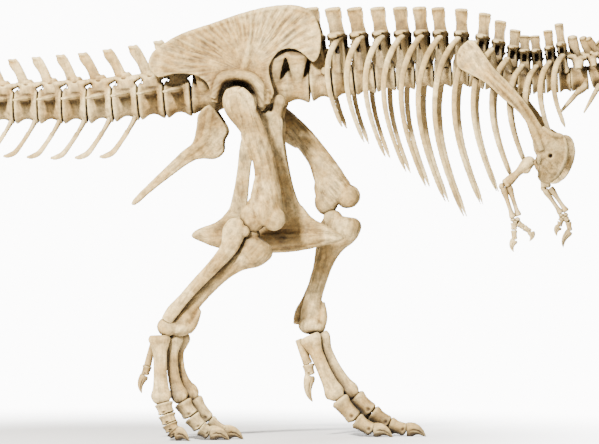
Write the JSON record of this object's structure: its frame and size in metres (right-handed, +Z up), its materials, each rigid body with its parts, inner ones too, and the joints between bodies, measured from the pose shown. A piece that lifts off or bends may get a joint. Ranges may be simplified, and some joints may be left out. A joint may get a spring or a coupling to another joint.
{
  "type": "tyrannosaurus rex skeleton",
  "caption": "Life-size standing skeleton of a large two-legged meat-eating dinosaur, striding with its jaws a little open and its tail held out level.",
  "frame": {"origin": "on the floor, under the middle of the skeleton's whole length and width", "axes": "+X forward from the tail to the snout, +Y to the animal's left, +Z up"},
  "size_m": [12.2574, 1.191, 4.0757],
  "materials": {
    "head_bone": "matt fossil bone, warm tan with dark brown recesses",
    "column_bone": "matt fossil bone, warm tan with dark brown recesses",
    "hip_bone": "matt fossil bone, tan with darker streaks fanning to the edges",
    "limb_bone": "matt fossil bone, tan with fine lengthwise streaks",
    "toe_bone": "matt fossil bone, tan, with darker claws",
    "tooth": "smooth fossil enamel, cream to brown"
  },
  "bodies": {
    "root": {"skull": "head_bone", "jaw": "head_bone", "neck": "column_bone", "sacrum": "column_bone", "pubis": "hip_bone", "tail_base": "column_bone", "tail_middle": "column_bone", "tail_end": "column_bone", "trunk_right": "column_bone", "ilium_right": "hip_bone", "ischium_right": "hip_bone", "femur_right": "limb_bone", "tibia_right": "limb_bone", "fibula_right": "limb_bone", "metatarsal_2_right": "limb_bone", "metatarsal_3_right": "limb_bone", "metatarsal_4_right": "limb_bone", "toe_1_right": "toe_bone", "toe_2_right": "toe_bone", "toe_3_right": "toe_bone", "toe_4_right": "toe_bone", "scapula_right": "limb_bone", "humerus_right": "limb_bone", "radius_right": "limb_bone", "ulna_right": "limb_bone", "hand_right": "limb_bone", "trunk_left": "column_bone", "ilium_left": "hip_bone", "ischium_left": "hip_bone", "femur_left": "limb_bone", "tibia_left": "limb_bone", "fibula_left": "limb_bone", "metatarsal_2_left": "limb_bone", "metatarsal_3_left": "limb_bone", "metatarsal_4_left": "limb_bone", "toe_1_left": "toe_bone", "toe_2_left": "toe_bone", "toe_3_left": "toe_bone", "toe_4_left": "toe_bone", "scapula_left": "limb_bone", "humerus_left": "limb_bone", "radius_left": "limb_bone", "ulna_left": "limb_bone", "hand_left": "limb_bone"}
  },
  "joints": []
}
